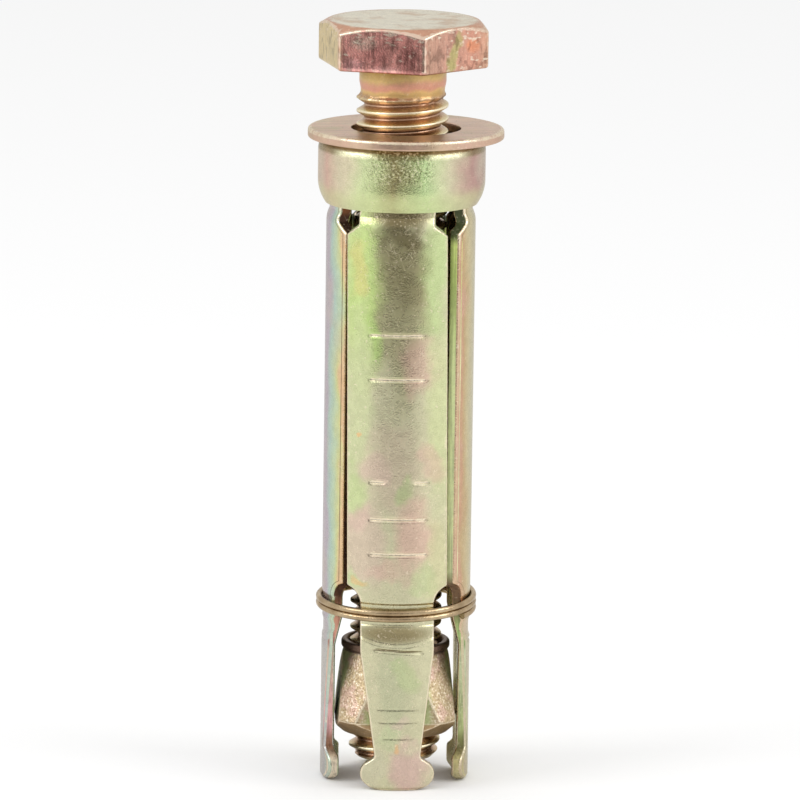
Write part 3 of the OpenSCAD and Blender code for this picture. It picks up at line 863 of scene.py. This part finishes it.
# painted shade: under the ferrule, in the hollow under the ring, and along the pressed line
colour = paint.patches(colour, paint.x, paint.z, [
    ((0, 75.9), (4.2, 1.6), (118, 104, 72), 0.85),
    ((-0.3, 20.8), (5.2, 1.3), (140, 128, 94), 0.95),
    ((-1.1, 18.7), (2.0, 0.16), (104, 86, 60), 0.8),
    ((1.6, 18.52), (1.9, 0.16), (104, 86, 60), 0.8),
])
rim = paint.attribute("rim")
cut = paint.mul(paint.between(rim, *CUT_RIM), paint.step(paint.z, 26, 28))
grain = paint.add(paint.mul(paint.step(paint.z, 40, 60), 0.9), 0.5)
finish = paint.coat(colour, worn=rim, grain=grain, dull=paint.mul(cut, 0.8), scratch=0.8)
wear(segments["front"], finish)

# %% [markdown]
# ## Colours of the other segments
# On the side segments the film runs in long bands from the middle of the segment to its edges: mauve,
# blue-green, yellow and orange on the left one, pale green, tan and pink on the right one. The cut faces have
# colours up their height, and lines from the shears. Their ramps also carry painted shade: thin dark bands at
# the foot's waist, the taper and the shoulder, the left one's slot face and the notches dark, and a painted
# glint at the top of the left notch.

# %% Finish of the side segments
BANDS = {
    "left": [
        (0, 184, 178, 186), (0.4, 186, 176, 188), (0.58, 176, 198, 186), (0.74, 188, 204, 172),
        (0.85, 204, 204, 148), (0.93, 220, 188, 146), (1, 214, 180, 140),
    ],
    "right": [
        (0, 200, 194, 176), (0.35, 200, 196, 166), (0.6, 203, 190, 152), (0.78, 196, 172, 132),
        (0.9, 200, 160, 132), (1, 206, 178, 146),
    ],
    "back": [
        (0, 200, 208, 158), (0.3, 196, 212, 146), (0.55, 210, 188, 160), (0.75, 212, 172, 164),
        (0.9, 190, 206, 180), (1, 232, 214, 190),
    ],
}
# cut-face colours up the height, with painted shade in thin dark bands, down the left slot face and in the
# notches, and a painted glint at the top of the left notch
CUT_TONE_AND_SHADE = {
    "left": [
        (0, 218, 206, 184), (0.034, 206, 190, 166), (0.042, 126, 92, 66), (0.056, 150, 110, 92),
        (0.07, 208, 158, 158), (0.11, 206, 160, 156), (0.15, 200, 176, 158), (0.178, 190, 164, 146),
        (0.186, 146, 104, 92), (0.196, 206, 150, 132), (0.235, 190, 140, 112), (0.25, 92, 62, 46),
        (0.72, 92, 62, 46), (0.74, 62, 40, 28), (0.75, 70, 44, 30), (0.765, 158, 98, 58),
    ],
    "right": [
        (0, 176, 166, 126), (0.034, 166, 156, 104), (0.042, 98, 92, 54), (0.056, 124, 128, 76),
        (0.07, 164, 176, 118), (0.15, 178, 186, 146), (0.175, 180, 188, 150), (0.184, 110, 132, 70),
        (0.196, 162, 190, 116), (0.225, 150, 150, 100), (0.245, 124, 96, 70), (0.268, 124, 96, 70),
        (0.285, 214, 222, 170), (0.55, 218, 228, 170), (0.66, 194, 212, 128), (0.715, 204, 220, 130),
        (0.728, 66, 74, 40), (0.77, 72, 80, 46),
    ],
}
CUT_TONE_AND_SHADE["back"] = CUT_TONE_AND_SHADE["right"]
HALF_SPAN_DEG = 43
for name, stops in BANDS.items():
    is_left = name == "left"
    blush_tone, low_tone = (TAN, (186, 190, 176)) if is_left else (PINK, (190, 184, 156))
    paint = Paint(f"plated {name}")
    share = paint.math("DIVIDE", paint.math("ABSOLUTE", paint.angle(SEGMENTS[name])), HALF_SPAN_DEG)
    share = paint.sway(share, 6.0, 0.24, detail=3.0, stretch=(1, 1, 1.7), shift=len(name))
    colour = paint.ramp(share, stops)
    blush = paint.step(paint.noise(9.0, detail=3.0, shift=6.0 + len(name)), 0.5, 0.68)
    colour = paint.lay(colour, blush_tone, blush, 0.4)
    colour = paint.lay(colour, low_tone, paint.step(paint.z, 24, 16), 0.5)
    rim = paint.attribute("rim")
    cut = paint.between(rim, *CUT_RIM)
    shear = paint.step(paint.noise(0.3, detail=2.0, stretch=(1, 1, 40), shift=14.0), 0.45, 0.6)
    # cut-face colour with its painted shade and painted glint
    cut_tone_and_shade = paint.ramp(paint.math("DIVIDE", paint.z, 100), CUT_TONE_AND_SHADE[name])
    cut_tone_and_shade = paint.scaled(cut_tone_and_shade, paint.sub(1.1, paint.mul(shear, 0.3)))
    colour = paint.mix(cut, colour, cut_tone_and_shade)
    worn = paint.mul(rim, paint.add(paint.mul(paint.step(paint.z, 70, 73), 0.45), 0.5))
    wear(segments[name], paint.coat(colour, worn=worn, dull=paint.mul(cut, 0.4 if is_left else 0.9)))

# %% [markdown]
# ## Colours of the bolt
# The head is pale on top with an orange-pink chamfer. Its sides are pink, green and orange in soft patches,
# with scuffs, and the front one has strong streaks from the dies, painted shade over its middle and right and
# a painted highlight along its lower edge. The neck gets painted shade at its top, under the head. The thread
# is rolled and keeps a thicker, golden-brown film in its root, while its crests are rubbed bright.

# %% Finish of the bolt
paint = Paint("plated bolt")
rim = paint.attribute("rim")
angle = paint.angle(0)
share = paint.add(paint.math("DIVIDE", angle, 360), 0.5)
side = paint.ramp(share, [
    (0.0, 206, 170, 150), (0.2, 212, 192, 142), (0.36, 214, 194, 144), (0.38, 214, 152, 142),
    (0.53, 210, 148, 138), (0.545, 188, 148, 128), (0.6, 194, 148, 130), (0.67, 200, 146, 126),
    (0.8, 208, 184, 148), (1.0, 206, 170, 150),
])
# painted shade over the front facet's middle and right, and a painted highlight along its lower edge; the
# other patches are the film's colours and scuffs
side = paint.patches(side, paint.sway(angle, 1.2, 3.0, detail=3.0), paint.z, [
    ((3, 96.2), (7, 2.4), (136, 80, 78), 0.5),
    ((-20, 96.6), (9, 1.6), (184, 116, 112), 0.4),
    ((-37, 95.2), (7, 1.0), (240, 180, 176), 0.6),
    ((-14, 94.9), (12, 0.5), (240, 184, 176), 0.5),
    ((-30, 98.2), (10, 1.0), (214, 190, 172), 0.5),
    ((46, 98.6), (4, 1.2), (176, 172, 112), 0.7),
    ((42, 97.0), (4, 1.3), (180, 174, 116), 0.8),
    ((38, 95.4), (4.5, 1.2), (176, 172, 112), 0.8),
    ((60, 97.6), (7, 1.0), (224, 144, 104), 0.6),
])
front_side = paint.between(share, 0.372, 0.382, 0.535, 0.545)
streak = paint.sub(paint.noise(0.35, detail=3.0, stretch=(1, 1, 9)), 0.5)
streak = paint.mul(streak, paint.add(paint.mul(front_side, 1.2), 0.6))
side = paint.scaled(side, paint.add(streak, 1.0))
stain = paint.step(paint.noise(1.0, detail=4.0, stretch=(1, 1, 1.6), shift=27.0), 0.5, 0.36)
side = paint.scaled(side, paint.sub(1.06, paint.mul(stain, 0.4)))
scuff = paint.step(paint.noise(0.5, detail=4.0, stretch=(2.4, 2.4, 1), shift=21.0), 0.57, 0.64)
spread = paint.step(paint.noise(3.4, detail=2.0, shift=23.0), 0.5, 0.64)
spread = paint.math("MAXIMUM", spread, paint.step(paint.z, 97.6, 98.6))
corner = paint.mul(paint.step(angle, 40, 50), paint.step(paint.z, 96.8, 95.8))
scuff = paint.mul(scuff, paint.math("MAXIMUM", spread, corner))
side = paint.lay(side, (236, 220, 198), scuff, 0.75)
blot = paint.step(paint.noise(3.6, detail=5.0, shift=3.0), 0.46, 0.66)
top = paint.mix(blot, (230, 226, 206), (206, 180, 150))
radius = paint.math("SQRT", paint.add(paint.mul(paint.x, paint.x), paint.mul(paint.y, paint.y)))
top = paint.mix(paint.step(paint.sway(radius, 1.2, 0.25), 9.2, 9.9), top, (206, 158, 132))
# the neck's colours up its height, painted darker olive at the top as painted shade under the head
high = paint.sub(paint.sway(paint.z, 2.4, 0.4, detail=4.0), paint.mul(paint.x, 0.05))
neck = paint.ramp(paint.math("DIVIDE", paint.sub(high, 90), 5), [
    (0.15, 196, 158, 100), (0.24, 214, 176, 116), (0.34, 212, 152, 128), (0.46, 210, 156, 128),
    (0.58, 206, 174, 116), (0.78, 168, 134, 74),
])
thread = paint.ramp(paint.sway(rim, 0.6, 0.08), [
    (0.0, 178, 144, 120), (0.45, 202, 174, 140), (0.85, 220, 204, 162), (0.97, 244, 232, 200),
])
above_thread = paint.step(paint.z, THREAD_TOP_Z - 0.8, THREAD_TOP_Z - 0.1)
head_part = paint.step(paint.z, HEAD_Z - 0.15, HEAD_Z - 0.05)
neck_part = paint.mul(above_thread, paint.sub(1.0, head_part))
normal = paint.node("ShaderNodeNewGeometry").outputs["Normal"]
facing_up = paint.step(paint.node("ShaderNodeSeparateXYZ", Vector=normal).outputs[2], 0.55, 0.75)
colour = paint.mix(above_thread, thread, neck)
colour = paint.mix(head_part, colour, side)
colour = paint.mix(paint.mul(head_part, facing_up), colour, top)
finish = paint.coat(
    colour, worn=paint.mul(rim, head_part), dull=paint.mul(neck_part, 0.35),
    rough=0.24, grain=0.8, tone=(234, 212, 190),
)
wear(bolt, finish)

# %% [markdown]
# ## Colours of ferrule, washer, ring and nut
# The ferrule is green in the middle and pink to its sides, with a coarse sparkle in its upper middle where
# the film is thin. A painted reflection darkens its very middle, and its shoulder carries painted highlights
# to both sides of that, painted shade between them and a painted shadow under the washer. The washer is
# brushed, with painted shade down its side and underneath. The wire is olive. The nut is bronze, and its cone
# sparkles because it is turned from bar; its collar is painted dark as painted shade.

# %% Finish of the ferrule
paint = Paint("plated ferrule")
share = paint.add(paint.math("DIVIDE", paint.x, 2 * FERRULE_R), 0.5)
# the darker stop in the middle is a painted reflection of the dark front
colour = paint.ramp(paint.sway(share, 5.0, 0.06, detail=4.0), [
    (0.0, 208, 190, 170), (0.06, 206, 172, 156), (0.15, 206, 194, 166), (0.26, 200, 210, 160),
    (0.36, 194, 206, 150), (0.47, 162, 152, 108), (0.62, 190, 214, 154), (0.8, 202, 196, 164),
    (0.93, 186, 150, 142), (1.0, 196, 180, 164),
])
low = paint.step(paint.sway(paint.z, 3.0, 0.6), 80.0, 77.5)
colour = paint.lay(colour, (200, 206, 152), low, 0.55)
off = paint.math("ABSOLUTE", paint.sway(paint.x, 1.6, 0.5, detail=3.0, shift=2.0))
# painted highlights on the shoulder to both sides, and painted shade in its middle
shoulder_highlight = paint.between(off, 2.8, 4.4, 7.2, 9.2)
shoulder = paint.step(paint.sway(paint.z, 0.8, 0.1), 83.1, 83.6)
colour = paint.lay(colour, paint.mix(shoulder_highlight, (128, 116, 74), (252, 250, 208)), shoulder, 0.7)
# painted shadow of the washer along the top of the ferrule
under = paint.step(paint.sway(paint.z, 0.8, 0.1, shift=3.0), 83.8, 84.2)
colour = paint.lay(colour, (116, 98, 64), under, 0.7)
place = paint.mul(paint.step(off, 5.2, 2.6), paint.step(paint.z, 79.0, 81.4))
spark = paint.noise(0.3, detail=2.0, shift=33.0)
colour = paint.lay(colour, (240, 236, 196), paint.mul(paint.step(spark, 0.54, 0.64), place), 0.6)
colour = paint.lay(colour, (98, 88, 52), paint.mul(paint.step(spark, 0.47, 0.37), place), 0.6)
wear(cup, paint.coat(colour, rough=0.25, grain=paint.add(place, 1.6)))

# %% Finish of the washer
paint = Paint("plated washer")
colour = paint.ramp(paint.noise(5.0, detail=4.0, shift=8.0), [
    (0.3, 200, 182, 148), (0.5, 212, 180, 162), (0.7, 216, 196, 166),
])
flat_top = paint.step(paint.z, WASHER_TOP_Z - 0.05, WASHER_TOP_Z - 0.01)
brush = paint.sub(paint.noise(0.9, detail=4.0, stretch=(14, 1, 14), tilt=(0, 0, -12)), 0.5)
brush = paint.mul(brush, paint.mul(flat_top, 0.7))
colour = paint.scaled(colour, paint.add(brush, 0.97))
# painted shade: the side and underside darker below the rounded top edge
colour = paint.lay(colour, (190, 154, 130), paint.step(paint.z, 85.75, 85.55), 0.4)
wear(washer, paint.coat(colour, worn=paint.attribute("rim"), rough=0.3))

# %% Finish of the ring
paint = Paint("plated wire")
colour = paint.ramp(paint.noise(2.4, detail=3.0), [
    (0.3, 154, 132, 102), (0.5, 172, 150, 118), (0.7, 192, 172, 140),
])
finish = paint.coat(colour, rough=0.18, scratch=0.3)
for piece in ring_pieces:
    wear(piece, finish)

# %% Finish of the nut
paint = Paint("plated nut")
quarter = paint.math("FLOORED_MODULO", paint.add(paint.angle(np.degrees(NUT_TURN)), 45), 90)
flat_part = paint.step(paint.math("ABSOLUTE", paint.sub(quarter, 45)), 34, 26)
colour = paint.mix(flat_part, (184, 164, 130), (180, 188, 138))
colour = paint.mix(paint.step(paint.noise(2.2, detail=3.0), 0.48, 0.66), colour, (196, 166, 148))
spark = paint.noise(0.3, detail=3.0, shift=31.0)
turned = paint.sub(0.6, paint.mul(flat_part, 0.5))
colour = paint.lay(colour, (244, 234, 214), paint.step(spark, 0.54, 0.66), turned)
colour = paint.lay(colour, (126, 102, 76), paint.step(spark, 0.46, 0.35), turned)
colour = paint.mix(paint.step(paint.z, CONE_LOW_Z + 0.1, CONE_LOW_Z - 0.3), colour, (176, 148, 112))
# painted shade: the collar dark
colour = paint.mix(paint.step(paint.z, CONE_TOP_Z - 0.4, CONE_TOP_Z), colour, (112, 90, 76))
wear(nut, paint.coat(colour, rough=0.32, grain=2.6, worn=paint.attribute("rim"), dull=0.1))

# %% [markdown]
# ## Floor and light
# The anchor stands on white paper under an even white sky. Two soft boxes stand at the sides. A dark card in
# front, which the camera looks through, gives the upper front something dark to mirror, as a dark studio
# behind the camera does.

# %% Floor and light
def flat_sheet(name, corners, colour, rough):
    """One flat quad with a plain colour that belongs to the stage, and its shader."""
    mesh = bpy.data.meshes.new(name)
    mesh.from_pydata(corners, [], [(0, 1, 2, 3)])
    sheet = bpy.data.objects.new(name, mesh)
    bpy.context.scene.collection.objects.link(sheet)
    finish = bpy.data.materials.new(name)
    finish.use_nodes = True
    shader = finish.node_tree.nodes["Principled BSDF"]
    shader.inputs["Base Color"].default_value = (*colour, 1)
    shader.inputs["Roughness"].default_value = rough
    mesh.materials.append(finish)
    return sheet, shader


FLOOR_HALF = 1.6
CARD_LEFT, CARD_RIGHT, CARD_Y, CARD_LOW, CARD_TOP = -0.26, 0.17, -0.3, 0.002, 0.09
corners = [(x * FLOOR_HALF, y * FLOOR_HALF, 0) for x, y in ((-1, -1), (1, -1), (1, 1), (-1, 1))]
_, floor_shader = flat_sheet("floor", corners, (0.9, 0.9, 0.9), 0.9)
floor_shader.inputs["Specular IOR Level"].default_value = 0.0
corners = [(x, CARD_Y, z) for x, z in (
    (CARD_LEFT, CARD_LOW), (CARD_RIGHT, CARD_LOW), (CARD_RIGHT, CARD_TOP), (CARD_LEFT, CARD_TOP),
)]
card, _ = flat_sheet("card", corners, (0.11, 0.1, 0.095), 0.8)
card.visible_camera = card.visible_shadow = card.visible_diffuse = False

for name, place, size, power in (
    ("left box", (-0.75, -0.35, 0.55), 0.5, 2.6),
    ("right box", (0.75, -0.3, 0.5), 0.5, 2.2),
):
    lamp = bpy.data.lights.new(name, "AREA")
    lamp.size = size
    lamp.energy = power
    box = bpy.data.objects.new(name, lamp)
    box.location = place
    box.rotation_euler = (Vector((0, 0, 0.05)) - box.location).to_track_quat("-Z", "Y").to_euler()
    bpy.context.scene.collection.objects.link(box)

world = bpy.data.worlds.new("studio")
bpy.context.scene.world = world
world.use_nodes = True
sky = world.node_tree.nodes["Background"]
sky.inputs["Color"].default_value = (1, 1, 1, 1)
sky.inputs["Strength"].default_value = 0.95
bpy.context.scene.view_settings.view_transform = "Standard"

# %% Update the scene
bpy.context.view_layer.update()
